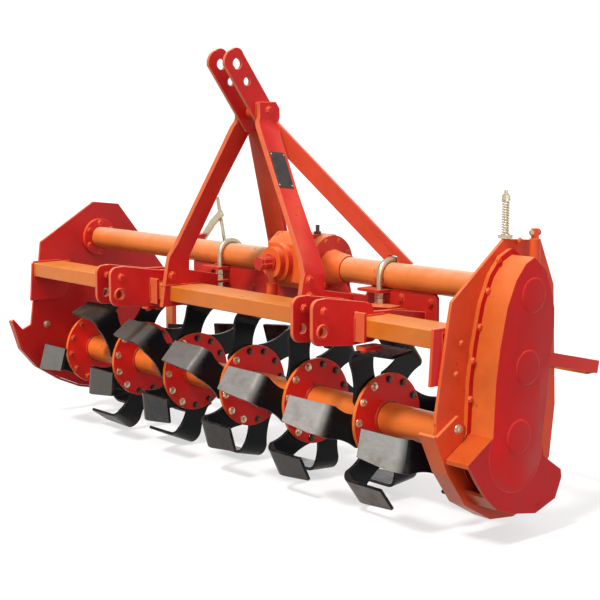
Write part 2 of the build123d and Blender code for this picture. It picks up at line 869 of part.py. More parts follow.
for name, item in (
    ("side_plate_left", side_plate_left),
    ("side_plate_right", side_plate_right),
    ("bearing_left", bearing_left),
    ("bearing_right", bearing_right),
    ("rotor_shaft", rotor_shaft),
    ("main_tube_left", main_tube_left),
    ("main_tube_right", main_tube_right),
    ("tube_flanges", tube_flanges),
    ("gearbox", gearbox),
    ("gearbox_covers", gearbox_covers),
    ("breather", breather),
    ("drain_spout", drain_spout),
    ("input_shaft", input_shaft),
    ("front_beam", front_beam),
    ("beam_ends", beam_ends),
    ("tube_web", tube_web),
    ("clamp_lugs", clamp_lugs),
    ("clamp_tabs", clamp_tabs),
    ("top_ears", top_ears),
    ("mast_bolt", mast_bolt),
    ("mast_stay_right", mast_stay_right),
    ("mast_stay_left", mast_stay_left),
    ("gear_case", gear_case),
    ("runner_right", runner_right_side),
    ("runner_left", runner_left_side),
    ("lower_guard", lower_guard),
    ("spring_rod", spring_rod),
    ("rod_spring", rod_spring),
    ("case_post", case_post),
    ("rear_bar", rear_bar),
    ("lever_bracket", lever_bracket),
    ("lever_arm", lever_arm),
    ("blank_plate", blank_plate),
):
    finish(item.part, name)

print("rotor axis height", round(axis_z, 3), "x_mid", x_mid, "y_mid", y_mid)
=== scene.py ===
import json
import math
import random
import bmesh
import bpy
from mathutils import Matrix, Vector


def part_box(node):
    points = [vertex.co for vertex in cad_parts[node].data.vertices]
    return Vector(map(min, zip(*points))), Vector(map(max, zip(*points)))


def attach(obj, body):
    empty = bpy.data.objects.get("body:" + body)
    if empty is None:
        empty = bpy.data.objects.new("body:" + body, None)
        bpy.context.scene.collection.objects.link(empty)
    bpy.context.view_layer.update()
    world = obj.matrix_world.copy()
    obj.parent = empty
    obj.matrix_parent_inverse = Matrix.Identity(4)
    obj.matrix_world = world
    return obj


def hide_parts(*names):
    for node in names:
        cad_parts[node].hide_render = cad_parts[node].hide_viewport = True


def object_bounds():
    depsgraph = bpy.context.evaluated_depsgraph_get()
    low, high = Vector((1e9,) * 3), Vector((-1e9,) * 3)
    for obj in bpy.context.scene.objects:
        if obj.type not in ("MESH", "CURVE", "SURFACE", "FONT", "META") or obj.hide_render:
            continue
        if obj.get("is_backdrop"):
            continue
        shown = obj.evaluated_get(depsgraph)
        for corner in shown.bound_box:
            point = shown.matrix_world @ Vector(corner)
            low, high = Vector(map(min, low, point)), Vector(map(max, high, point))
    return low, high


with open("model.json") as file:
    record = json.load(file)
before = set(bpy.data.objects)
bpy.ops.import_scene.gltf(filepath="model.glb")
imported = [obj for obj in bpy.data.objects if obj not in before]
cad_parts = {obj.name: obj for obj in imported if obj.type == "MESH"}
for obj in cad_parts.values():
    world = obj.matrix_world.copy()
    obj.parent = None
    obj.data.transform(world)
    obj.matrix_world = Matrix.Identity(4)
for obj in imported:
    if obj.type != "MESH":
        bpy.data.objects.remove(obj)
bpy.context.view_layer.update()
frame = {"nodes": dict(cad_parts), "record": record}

scene = bpy.context.scene
record = frame["record"]
bodyOf = {node: body for body, nodes in record["behaviour"]["bodies"].items() for node in nodes}
print("frame loaded", len(frame["nodes"]), "nodes")

# Places are in millimetres from the first rotor disc's centre: x to the gear case, y to the rear, z up
mm = 0.001
discLow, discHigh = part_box("rotor_disc_1")
discCentre = (Vector(discLow) + Vector(discHigh)) / 2
rotor = {"discs": 7, "pitch": 250, "halfDisc": 5, "blades": range(6), "endBlades": {0: (1, 3, 5), 6: (0, 2, 4)},
         "firstBlade": 75.5, "step": 10.5}
right, left, rear, front, up, down = (1, 0, 0), (-1, 0, 0), (0, 1, 0), (0, -1, 0), (0, 0, 1), (0, 0, -1)
quarterTurn = Matrix.Rotation(math.pi / 2, 4, "X")


def at(x, y, z):
    return discCentre + Vector((x, y, z)) * mm


def facing(spot, direction, roll=0.0):
    turn = Vector(direction).to_track_quat("Z", "Y").to_matrix().to_4x4()
    return Matrix.Translation(spot) @ turn @ Matrix.Rotation(roll, 4, "Z")


# A shader node whose sockets are linked or set, and short names for the common ones
def wire(tree, kind, sockets=None, **settings):
    node = tree.nodes.new(kind)
    for key, value in settings.items():
        setattr(node, key, value)
    for key, value in (sockets or {}).items():
        if isinstance(value, bpy.types.NodeSocket):
            tree.links.new(value, node.inputs[key])
        else:
            node.inputs[key].default_value = value
    return node


def startGroup(name, inputs, outputs):
    tree = bpy.data.node_groups.new(name, "ShaderNodeTree")
    for label, kind, value in inputs:
        socket = tree.interface.new_socket(label, in_out="INPUT", socket_type=kind)
        socket.default_value = value
    for label, kind in outputs:
        tree.interface.new_socket(label, in_out="OUTPUT", socket_type=kind)
    return tree, tree.nodes.new("NodeGroupInput").outputs, tree.nodes.new("NodeGroupOutput").inputs


def mixColour(tree, amount, first, second, blend="MIX"):
    node = wire(tree, "ShaderNodeMix", {0: amount, 6: first, 7: second}, data_type="RGBA", blend_type=blend)
    return node.outputs[2]


def ramp(tree, value, low, high, start=0.0, end=1.0):
    return wire(tree, "ShaderNodeMapRange", {0: value, 1: low, 2: high, 3: start, 4: end}).outputs[0]


def maths(tree, operation, first, second=0.0):
    return wire(tree, "ShaderNodeMath", {0: first, 1: second}, operation=operation).outputs[0]


def plus(tree, first, second):
    return maths(tree, "ADD", first, second)


def times(tree, first, second):
    return maths(tree, "MULTIPLY", first, second)


def vectors(tree, operation, first, second=(0, 0, 0), output=0):
    return wire(tree, "ShaderNodeVectorMath", {0: first, 1: second}, operation=operation).outputs[output]


def speckle(tree, spot, scale, detail=3.0, rough=0.55):
    sockets = {"Vector": spot, "Scale": scale, "Detail": detail, "Roughness": rough}
    return wire(tree, "ShaderNodeTexNoise", sockets).outputs[0]


# Mask of rounded edges: it places the painted edge highlight on paint, and bare, worn steel on the blades'
# edges
def edgeHighlightAndWearMask(tree, radius, low=0.015, high=0.16):
    rounded = wire(tree, "ShaderNodeBevel", {0: radius}, samples=4).outputs[0]
    true = tree.nodes.new("ShaderNodeNewGeometry").outputs["Normal"]
    same = vectors(tree, "DOT_PRODUCT", rounded, true, 1)
    return ramp(tree, maths(tree, "SUBTRACT", 1.0, same), low, high)


number, colour, vector = "NodeSocketFloat", "NodeSocketColor", "NodeSocketVector"

# Brush and spray paint: slow colour drift, painted shade on the faces that look along x and painted light on
# the rest, dust and a painted highlight on top, painted edge highlights, a few dark chips, orange peel
paintLook = {"slowScale": 3.2, "midScale": 21.0, "fineScale": 130.0, "edgeRadius": 0.0022,
             "chipColour": (0.09, 0.028, 0.02, 1)}
paintWearAndLight, given, out = startGroup(
    "paintWearAndLight",
    [("Shaded Side Colour", colour, (0.5, 0.03, 0.02, 1)), ("Lit Front Colour", colour, (0.7, 0.1, 0.02, 1)),
     ("Edge Highlight Colour", colour, (0.9, 0.4, 0.2, 1)), ("Dust Colour", colour, (0.6, 0.36, 0.2, 1)),
     ("Dust And Top Light", number, 0.3), ("Painted Edge Highlight", number, 0.6), ("Drift", number, 0.3), ("Chips", number, 0.5),
     ("Peel Scale", number, 380.0)],
    [("Colour", colour), ("Roughness", number), ("Height", number)])
spot = paintWearAndLight.nodes.new("ShaderNodeTexCoord").outputs
parts = wire(paintWearAndLight, "ShaderNodeSeparateXYZ", {0: spot["Normal"]}).outputs
# Faces that look along x take the side colour and the rest the front colour: painted shade and painted light
# from one paint
across = ramp(paintWearAndLight, maths(paintWearAndLight, "ABSOLUTE", parts[0]), 0.25, 0.9, 1.0, 0.0)
body = mixColour(paintWearAndLight, across, given["Shaded Side Colour"], given["Lit Front Colour"])
slow = speckle(paintWearAndLight, spot["Object"], paintLook["slowScale"], 4.0)
mid = speckle(paintWearAndLight, spot["Object"], paintLook["midScale"], 5.0, 0.6)
fine = speckle(paintWearAndLight, spot["Object"], paintLook["fineScale"], 3.0)
# A slow, random change of the paint's tone, the same under any light
tone = ramp(paintWearAndLight, plus(paintWearAndLight, times(paintWearAndLight, slow, 0.6), times(paintWearAndLight, mid, 0.4)),
             0.35, 0.65, 0.78, 1.14)
toneColour = wire(paintWearAndLight, "ShaderNodeCombineColor", {0: tone, 1: tone, 2: tone}).outputs[0]
toned = mixColour(paintWearAndLight, 1.0, body, toneColour, "MULTIPLY")
drifted = mixColour(paintWearAndLight, given["Drift"], body, toned)
# Upward faces go towards the dust colour: partly real dust, partly a painted highlight on top
upwardDustAndLight = times(paintWearAndLight, ramp(paintWearAndLight, parts[2], 0.35, 0.95), ramp(paintWearAndLight, mid, 0.3, 0.7, 0.35, 1.0))
dustAndTopLightMask = times(paintWearAndLight, upwardDustAndLight, given["Dust And Top Light"])
dustedAndTopLit = mixColour(paintWearAndLight, dustAndTopLightMask, drifted, given["Dust Colour"])
# Rounded edges go towards the pale edge colour: a painted highlight, not wear
paleEdgeHighlight = times(paintWearAndLight, edgeHighlightAndWearMask(paintWearAndLight, paintLook["edgeRadius"]),
               ramp(paintWearAndLight, mid, 0.3, 0.6, 0.4, 1.0))
edgeLit = mixColour(paintWearAndLight, times(paintWearAndLight, paleEdgeHighlight, given["Painted Edge Highlight"]), dustedAndTopLit, given["Edge Highlight Colour"])
grit = plus(paintWearAndLight, mid, times(paintWearAndLight, fine, 0.35))
chipMask = times(paintWearAndLight, ramp(paintWearAndLight, grit, 0.86, 0.90), given["Chips"])
paintWearAndLight.links.new(mixColour(paintWearAndLight, chipMask, edgeLit, paintLook["chipColour"]), out["Colour"])
paintWearAndLight.links.new(plus(paintWearAndLight, ramp(paintWearAndLight, mid, 0.3, 0.7, 0.34, 0.48),
                         times(paintWearAndLight, plus(paintWearAndLight, dustAndTopLightMask, chipMask), 0.35)), out["Roughness"])
peel = speckle(paintWearAndLight, spot["Object"], given["Peel Scale"], 2.0)
waves = plus(paintWearAndLight, times(paintWearAndLight, peel, 0.3), times(paintWearAndLight, slow, 0.8))
paintWearAndLight.links.new(maths(paintWearAndLight, "SUBTRACT", waves, chipMask), out["Height"])

# Plated or oiled steel: cloudy plating, small pits and fine grain
steelWear, given, out = startGroup(
    "steelWear",
    [("Base Colour", colour, (0.6, 0.58, 0.5, 1)), ("Cloud Colour", colour, (0.5, 0.4, 0.2, 1)),
     ("Cloud", number, 0.4), ("Roughness", number, 0.32), ("Grain Scale", number, 260.0)],
    [("Colour", colour), ("Roughness", number), ("Height", number)])
spot = steelWear.nodes.new("ShaderNodeTexCoord").outputs
cloud = speckle(steelWear, spot["Object"], 34.0, 4.0, 0.6)
grain = speckle(steelWear, spot["Object"], given["Grain Scale"], 3.0)
cloudMask = times(steelWear, ramp(steelWear, cloud, 0.35, 0.68), given["Cloud"])
steelWear.links.new(mixColour(steelWear, cloudMask, given["Base Colour"], given["Cloud Colour"]), out["Colour"])
steelWear.links.new(plus(steelWear, given["Roughness"], ramp(steelWear, grain, 0.3, 0.7, -0.06, 0.14)),
                    out["Roughness"])
steelWear.links.new(times(steelWear, grain, 0.5), out["Height"])

# Blade wear: the face that looks away from the shaft is scoured grey or brown, and earth stains the tips.
# Distances from the rotor's axis are in metres.
scourLook = {"brownColour": (0.30, 0.21, 0.155, 1), "shineColour": (0.42, 0.41, 0.395, 1), "edgeRadius": 0.0016,
             "tipFrom": 0.150, "tipFull": 0.176, "earthFrom": 0.16, "earthFull": 0.2}
scouring, given, out = startGroup(
    "scouring",
    [("Paint Colour", colour, (0.006, 0.007, 0.009, 1)), ("Scoured Colour", colour, (0.34, 0.335, 0.32, 1)),
     ("Earth Colour", colour, (0.12, 0.075, 0.04, 1)), ("Earth", number, 0.5), ("Axis", vector, (0, 0, 0)),
     ("Wear", number, 1.0), ("Brown", number, 0.0)],
    [("Colour", colour), ("Roughness", number), ("Height", number), ("Bare", number)])
spot = scouring.nodes.new("ShaderNodeTexCoord").outputs
flat = vectors(scouring, "MULTIPLY", vectors(scouring, "SUBTRACT", spot["Object"], given["Axis"]), (0, 1, 1))
reach = vectors(scouring, "LENGTH", flat, output=1)
lean = vectors(scouring, "DOT_PRODUCT", vectors(scouring, "NORMALIZE", flat), spot["Normal"], 1)
streakSpot = wire(scouring, "ShaderNodeMapping", {0: spot["Object"], 3: (18, 70, 70)}).outputs[0]
streak = speckle(scouring, streakSpot, 2.0, 6.0, 0.65)
blotch = speckle(scouring, spot["Object"], 26.0, 5.0, 0.6)
outerFace = times(scouring, ramp(scouring, lean, 0.45, 0.86),
                  ramp(scouring, reach, scourLook["tipFrom"], scourLook["tipFull"]))
scourMask = times(scouring, outerFace, times(scouring, ramp(scouring, streak, 0.25, 0.6, 0.9, 1.0),
                                             given["Wear"]))
edgeMask = times(scouring, edgeHighlightAndWearMask(scouring, scourLook["edgeRadius"]), 0.55)
bare = maths(scouring, "MAXIMUM", scourMask, edgeMask)
browned = mixColour(scouring, given["Brown"], given["Scoured Colour"], scourLook["brownColour"])
shone = mixColour(scouring, 0.4, browned, scourLook["shineColour"])
streaked = mixColour(scouring, ramp(scouring, streak, 0.3, 0.7), browned, shone)
worn = mixColour(scouring, bare, given["Paint Colour"], streaked)
stained = times(scouring, ramp(scouring, blotch, 0.45, 0.68),
                ramp(scouring, reach, scourLook["earthFrom"], scourLook["earthFull"]))
earthMask = times(scouring, stained, given["Earth"])
scouring.links.new(mixColour(scouring, earthMask, worn, given["Earth Colour"]), out["Colour"])
scouring.links.new(plus(scouring, ramp(scouring, bare, 0.0, 1.0, 0.26, 0.46), times(scouring, earthMask, 0.5)),
                   out["Roughness"])
scouring.links.new(plus(scouring, streak, blotch), out["Height"])
scouring.links.new(bare, out["Bare"])


def startMaterial(name):
    material = bpy.data.materials.new(name)
    material.use_nodes = True
    tree = material.node_tree
    tree.nodes.clear()
    shader = tree.nodes.new("ShaderNodeBsdfPrincipled")
    end = tree.nodes.new("ShaderNodeOutputMaterial")
    tree.links.new(shader.outputs[0], end.inputs[0])
    return material, tree, shader


def useGroup(tree, group, shader, values, bump):
    node = wire(tree, "ShaderNodeGroup", node_tree=group)
    for key, value in values.items():
        node.inputs[key].default_value = value
    tree.links.new(node.outputs["Colour"], shader.inputs["Base Color"])
    tree.links.new(node.outputs["Roughness"], shader.inputs["Roughness"])
    dent = wire(tree, "ShaderNodeBump", {"Strength": 1.0, "Distance": bump, "Height": node.outputs["Height"]})
    tree.links.new(dent.outputs[0], shader.inputs["Normal"])
    return node


def paint(name, side, front, dustAndTopLight, edge=0.6, drift=0.6, chips=0.5, bump=0.0003, peel=380.0, coat=0.06,
          shine=0.26, dustAndTopLightColour=(0.72, 0.34, 0.16)):
    material, tree, shader = startMaterial(name)
    useGroup(tree, paintWearAndLight, shader, {
        "Shaded Side Colour": (*side, 1), "Lit Front Colour": (*front, 1), "Edge Highlight Colour": (0.86, 0.30, 0.12, 1),
        "Dust Colour": (*dustAndTopLightColour, 1), "Dust And Top Light": dustAndTopLight, "Painted Edge Highlight": edge, "Drift": drift,
        "Chips": chips, "Peel Scale": peel}, bump)
    shader.inputs["Coat Weight"].default_value = coat
    shader.inputs["Coat Roughness"].default_value = 0.18
    shader.inputs["Specular IOR Level"].default_value = shine
    return material


def steel(name, base, cloud, amount, roughness, bump=0.00012, metallic=0.92, grain=260.0):
    material, tree, shader = startMaterial(name)
    useGroup(tree, steelWear, shader, {
        "Base Colour": (*base, 1), "Cloud Colour": (*cloud, 1), "Cloud": amount, "Roughness": roughness,
        "Grain Scale": grain}, bump)
    shader.inputs["Metallic"].default_value = metallic
    return material


# Paints: colour of the faces that look along x, a painted shade, colour of the rest, a painted light, share of
# dust and
# painted top highlight. Steels: colour, colour of the clouds, share of clouds, roughness.
finishes = {
    "plateRed": paint("plateRed", (0.58, 0.014, 0.012), (0.74, 0.075, 0.016), 0.35),
    "legRed": paint("legRed", (0.56, 0.014, 0.013), (0.68, 0.130, 0.045), 0.35, edge=0.9),
    "stayRed": paint("stayRed", (0.50, 0.016, 0.012), (0.62, 0.070, 0.022), 0.20, drift=0.9),
    # The web's front colour is as dark as its side: painted shade from the tube above it. The splined shaft
    # uses the same dark red as its own paint
    "webShadeRed": paint("webShadeRed", (0.50, 0.012, 0.011), (0.51, 0.018, 0.012), 0.30),
    "sideRed": paint("sideRed", (0.50, 0.013, 0.012), (0.66, 0.060, 0.012), 0.25, drift=0.8),
    "driveOrange": paint("driveOrange", (0.62, 0.052, 0.013), (0.78, 0.125, 0.024), 0.30, drift=0.8),
    "beamOrange": paint("beamOrange", (0.60, 0.050, 0.014), (0.66, 0.165, 0.014), 0.42, coat=0.22,
                        dustAndTopLightColour=(0.60, 0.32, 0.09)),
    # The tube's large dust share is mostly a painted highlight along its top
    "tubeOrange": paint("tubeOrange", (0.60, 0.050, 0.014), (0.72, 0.200, 0.040), 0.80, coat=0.25,
                        dustAndTopLightColour=(0.46, 0.39, 0.27)),
    # The discs' side colour is raised to a very light red: painted light on faces that sit in shade
    "rotorOrange": paint("rotorOrange", (0.90, 0.022, 0.018), (0.86, 0.19, 0.028), 0.10, chips=0.8),
    "castOrange": paint("castOrange", (0.54, 0.028, 0.012), (0.76, 0.120, 0.014), 0.50, bump=0.0009,
                        peel=240.0),
    "caseRed": paint("caseRed", (0.48, 0.004, 0.005), (0.62, 0.120, 0.022), 0.30, edge=0.12, drift=0.8,
                     bump=0.0004, coat=0.03, shine=0.2),
    "guardRed": paint("guardRed", (0.44, 0.002, 0.004), (0.50, 0.076, 0.012), 0.0, edge=0.4, drift=0.8,
                      coat=0.03, shine=0.2),
    "weldRed": paint("weldRed", (0.46, 0.020, 0.012), (0.60, 0.060, 0.012), 0.2, edge=0.9, bump=0.0006,
                     peel=520.0),
    "zincPlate": steel("zincPlate", (0.62, 0.58, 0.46), (0.55, 0.42, 0.20), 0.5, 0.30),
    "zincHighlight": steel("zincHighlight", (0.80, 0.66, 0.50), (0.50, 0.34, 0.18), 0.6, 0.26),
    "oiledSteelAndShade": steel("oiledSteelAndShade", (0.11, 0.075, 0.06), (0.05, 0.03, 0.025), 0.6, 0.30),
    "blankBlack": steel("blankBlack", (0.018, 0.018, 0.019), (0.05, 0.045, 0.04), 0.6, 0.36, bump=0.0001,
                        metallic=0.0, grain=180.0),
}

bladeSteel, tree, shader = startMaterial("bladeSteel")
node = useGroup(tree, scouring, shader, {"Axis": tuple(discCentre)}, 0.0002)
# The per-blade shares read here carry painted reflection and painted shade as well as wear
for label in ("Wear", "Brown"):
    share = wire(tree, "ShaderNodeAttribute", attribute_name="blade" + label).outputs["Fac"]
    tree.links.new(share, node.inputs[label])
tree.links.new(ramp(tree, node.outputs["Bare"], 0.0, 1.0, 0.0, 0.18), shader.inputs["Metallic"])
shader.inputs["Specular IOR Level"].default_value = 0.14
print("materials ready")


# Makes the object, with a soft edge of so many millimetres, and names its body and the nodes it replaces
def finishPiece(name, mesh, body, material, stands=(), soften=0.0, angle=35, recalc=True):
    if recalc:
        bmesh.ops.recalc_face_normals(mesh, faces=mesh.faces)
    data = bpy.data.meshes.new(name)
    mesh.to_mesh(data)
    mesh.free()
    data.materials.append(material)
    for face in data.polygons:
        face.use_smooth = True
    data.set_sharp_from_angle(angle=math.radians(angle))
    piece = bpy.data.objects.new(name, data)
    scene.collection.objects.link(piece)
    if soften:
        edge = piece.modifiers.new("softEdge", "BEVEL")
        edge.width = soften * mm
        edge.segments = 2
        edge.limit_method = "ANGLE"
        edge.angle_limit = math.radians(angle)
        edge.harden_normals = True
    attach(piece, body)
    if stands:
        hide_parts(*stands)


def mergedCopy(node):
    mesh = bmesh.new()
    mesh.from_mesh(frame["nodes"][node].data)
    bmesh.ops.remove_doubles(mesh, verts=mesh.verts, dist=0.00002)
    bmesh.ops.dissolve_limit(mesh, angle_limit=0.017, verts=mesh.verts, edges=mesh.edges)
    return mesh


def roundEdges(mesh, edges, offset, segments):
    bmesh.ops.bevel(mesh, geom=edges, offset=offset * mm, offset_type="OFFSET", segments=segments, profile=0.5,
                    affect="EDGES", material=-1, clamp_overlap=True)


def edgesOf(vertices):
    return list({edge for vertex in vertices for edge in vertex.link_edges})


# Nodes that keep their shape: finish, soft edge in millimetres, nodes
dressed = (
    ("legRed", 1.3, ("top_ears", "mast_leg_left", "mast_leg_right", "hitch_bracket_left", "hitch_bracket_right",
                     "clamp_tabs")),
    ("stayRed", 1.3, ("mast_stay_left", "mast_stay_right")),
    ("plateRed", 1.3, ("beam_ends", "tube_flanges", "rear_arm_left", "rear_arm_right", "lever_bracket")),
    ("webShadeRed", 1.3, ("tube_web", "clamp_lugs")),
    ("sideRed", 1.3, ("side_plate_left", "runner_left")),
    ("driveOrange", 1.3, ("side_plate_right", "runner_right", "case_post")),
    ("tubeOrange", 1.3, ("main_tube_left", "main_tube_right")),
    ("beamOrange", 1.3, ("rear_bar", "parking_leg_left", "parking_leg_right")),
    ("guardRed", 1.3, ("lower_guard",)),
    ("castOrange", 2.0, ("bearing_left", "bearing_right", "gearbox_covers", "drain_spout")),
    ("rotorOrange", 1.3, ("rotor_shaft", *("rotor_disc_%d" % (i + 1) for i in range(rotor["discs"])))),
    ("zincPlate", 0.8, ("u_bolt_left", "u_bolt_right", "lever_arm")),
    ("plateRed", 0.8, ("mast_bolt",)),
    ("oiledSteelAndShade", 0.8, ("breather",)),
    ("zincPlate", 0.6, ("spring_rod",)),
    ("blankBlack", 0.5, ("blank_plate",)),
    ("beamOrange", 7.0, ("front_beam",)),
    ("castOrange", 3.5, ("gearbox",)),
)
for finish, soften, nodes in dressed:
    for node in nodes:
        finishPiece(node + ".dressed", mergedCopy(node), bodyOf[node], finishes[finish], (node,),
                    soften, recalc=False)

# Each blade has its own look, by the side of the disc it points to: its turn in degrees, then its shares of
# bare steel and of brown. The shares are partly wear and partly painted reflection and painted shade: plates
# facing the horizon read light, those facing up or down read dark
bladeWear = {
    "left": ((49, 0.10, 1.0), (39, 0.22, 0.5), (28, 0.42, 0.1), (18, 0.72, 0.1), (7, 1.0, 0.05),
             (-3, 0.92, 0.05), (-13, 0.9, 0.0), (-71, 0.4, 0.2), (-92, 0.15, 0.0)),
    "right": ((10, 0.45, 0.0), (0, 0.42, 0.0), (-11, 0.18, 0.2), (-21, 0.05, 0.0), (-32, 0.05, 0.0),
              (-42, 0.09, 0.6), (-53, 0.60, 0.7), (-63, 1.0, 0.25), (67, 0.05, 0.5)),
}
unseenWear = {"farther": 12, "bare": 0.5, "brown": 0.3}
bladeTip = 0.15
for i in range(rotor["discs"]):
    mesh = mergedCopy("blades_%d" % (i + 1))
    wearAndReflectionLayer = mesh.verts.layers.float.new("bladeWear")
    brown = mesh.verts.layers.float.new("bladeBrown")
    centre = at(i * rotor["pitch"], 0, 0)
    waiting = set(mesh.verts)
    while waiting:
        blade = {waiting.pop()}
        border = list(blade)
        while border:
            for edge in border.pop().link_edges:
                for vertex in edge.verts:
                    if vertex not in blade:
                        blade.add(vertex)
                        border.append(vertex)
        waiting -= blade
        tips = [vertex.co - centre for vertex in blade if (vertex.co - centre).yz.length > bladeTip]
        tip = sum(tips, Vector()) / len(tips)
        turn = math.degrees(math.atan2(tip.z, -tip.y))
        nearest, bareAndReflectionShare, brownShare = min(bladeWear["right" if tip.x > 0 else "left"],
                                             key=lambda row: abs(row[0] - turn))
        seen = abs(nearest - turn) < unseenWear["farther"]
        for vertex in blade:
            vertex[wearAndReflectionLayer] = bareAndReflectionShare if seen else unseenWear["bare"]
            vertex[brown] = brownShare if seen else unseenWear["brown"]
    finishPiece("blades_%d.dressed" % (i + 1), mesh, "rotor", bladeSteel,
                ("blades_%d" % (i + 1),), 1.0, recalc=False)
print("nodes dressed")

# A bolt's washer and head, as shares of the head's radius
boltShape = {"washer": 0.16, "washerFoot": 1.3, "washerTop": 1.24, "head": 0.62, "rim": 0.14}


def addBolt(mesh, place, size, washer=True):
    top = size * boltShape["washer"] if washer else 0.0
    if washer:
        bmesh.ops.create_cone(mesh, cap_ends=True, segments=24, radius1=size * boltShape["washerFoot"] * mm,
                              radius2=size * boltShape["washerTop"] * mm, depth=top * mm,
                              matrix=place @ Matrix.Translation((0, 0, top * mm / 2)))
    high = size * boltShape["head"]
    middle = Matrix.Translation((0, 0, (top + high / 2) * mm))
    head = bmesh.ops.create_cone(mesh, cap_ends=True, segments=6, radius1=size * mm, radius2=size * mm,
                                 depth=high * mm, matrix=place @ middle)
    upper = place @ Vector((0, 0, (top + high * 0.98) * mm))
    normal = (place.to_3x3() @ Vector(up)).normalized()
    rim = [edge for edge in edgesOf(head["verts"])
           if all((vertex.co - upper).dot(normal) > -0.0002 for vertex in edge.verts)]
    roundEdges(mesh, rim, size * boltShape["rim"], 2)


def boltRow(name, body, finish, places, size):
    mesh = bmesh.new()
    for k, (spot, direction) in enumerate(places):
        addBolt(mesh, facing(spot, direction, 0.37 * k), size)
    finishPiece(name, mesh, body, finishes[finish], angle=28)


# Rotor bolts: a head on each disc's right face, a nut behind it on the blade's shank or on the disc. Heads
# towards the front are bright zinc and the rest dark steel: a painted highlight and painted shade.
rotorBolts = {"count": 12, "nutX": -13, "bareNutX": -5, "radius": 92, "lag": 22, "size": 7.6, "darkFrom": -22}
heads = {"Bright": [], "Dark": [], "Painted": []}
nuts = []
for i in range(rotor["discs"]):
    lead = rotor["firstBlade"] - rotor["step"] * i - rotorBolts["lag"]
    bladed = rotor["endBlades"].get(i, rotor["blades"])
    for k in range(rotorBolts["count"]):
        angle = math.radians(lead + 360 / rotorBolts["count"] * k)
        across = -math.cos(angle) * rotorBolts["radius"]
        rise = math.sin(angle) * rotorBolts["radius"]
        nutX = rotorBolts["nutX"] if ((k + 1) // 2) % 6 in bladed else rotorBolts["bareNutX"]
        kind = "Painted" if i == 0 else "Bright" if across < rotorBolts["darkFrom"] else "Dark"
        heads[kind].append((at(i * rotor["pitch"] + rotor["halfDisc"], across, rise), right))
        nuts.append((at(i * rotor["pitch"] + nutX, across, rise), left))
boltRow("litDiscBolts", "rotor", "zincHighlight", heads["Bright"], rotorBolts["size"])
boltRow("shadedDiscBolts", "rotor", "oiledSteelAndShade", heads["Dark"], rotorBolts["size"])
boltRow("discBoltsPainted", "rotor", "plateRed", heads["Painted"], rotorBolts["size"])
boltRow("discBoltNuts", "rotor", "zincPlate", nuts, rotorBolts["size"])

# Bolts on the frame: finish, slot, size, then each place and the way its head looks
cheekXs = {"heads": (462, 527, 1250, 1315), "nuts": (452, 517, 1240, 1305)}
frameBolts = {
    "caseFlangeBolts": ("driveOrange", "red_cast", 5.6, [((1588, y, z), right) for y, z in (
        (-6, 398), (-37, 335), (-60, 261), (-80, 192), (-86, 111), (61, 434), (102, 318), (113, 240),
        (105, 165), (96, 90))]),
    "plateBolts": ("driveOrange", "red_paint", 5.4, [((1578, -105, 230), right), ((1578, -120, 166), right)]),
    "runnerBolts": ("zincPlate", "zinc_steel", 8.5, [((1586, -119, 51), right), ((-100, -112, 70), right)]),
    "cheekBolts": ("plateRed", "red_paint", 7.6, [((x, -253, 281), right) for x in cheekXs["heads"]]),
    "cheekNuts": ("plateRed", "red_paint", 9.0, [((x, -253, 281), left) for x in cheekXs["nuts"]]),
    "webBolts": ("webShadeRed", "red_paint", 8.0, [((x, 60, z), front) for x, z in (
        (1234, 274), (1330, 272), (500, 274), (1055, 245), (680, 245))]),
    "legFootBolts": ("plateRed", "red_paint", 9.0, [((606, -148, 284), right), ((1138, -140, 322), right),
                                                    ((1138, -140, 284), right)]),
    "mastHeadBolts": ("plateRed", "red_paint", 8.0, [((914, -76, 708), right), ((816, -76, 708), left)]),
    "armBolts": ("zincPlate", "zinc_steel", 11.0, [((1588, 130, 174), right), ((-118, 140, 172), left)]),
}
for name, (finish, slotName, size, spots) in frameBolts.items():
    boltRow(name, "frame", finish, [(at(*place), direction) for place, direction in spots], size)

# Rings of bolts round an axis along x: centre, radius, count, size, finish, slot, the way the heads look
ringBolts = {
    "tubeFlangeBoltsLeft": ((-88, 75, 322), 44, 6, 6.5, "plateRed", "red_paint", right),
    "tubeFlangeBoltsRight": ((1558, 75, 322), 44, 6, 6.5, "plateRed", "red_paint", left),
    "coverBoltsRight": ((977, 75, 334), 57, 8, 6.0, "castOrange", "red_cast", right),
    "coverBoltsLeft": ((799, 75, 334), 54, 8, 6.0, "castOrange", "red_cast", left),
    "bearingBolts": ((-120, 0, 0), 60, 6, 7.0, "castOrange", "red_cast", left),
    "rightBearingBolts": ((1606, 0, 0), 34, 6, 4.5, "castOrange", "red_cast", right),
}
for name, ((x, y, z), radius, count, size, finish, slotName, direction) in ringBolts.items():
    places = []
    for k in range(count):
        angle = 2 * math.pi * (k + 0.5) / count
        places.append((at(x, y + radius * math.cos(angle), z + radius * math.sin(angle)), direction))
    boltRow(name, "frame", finish, places, size)
print("bolts ready")

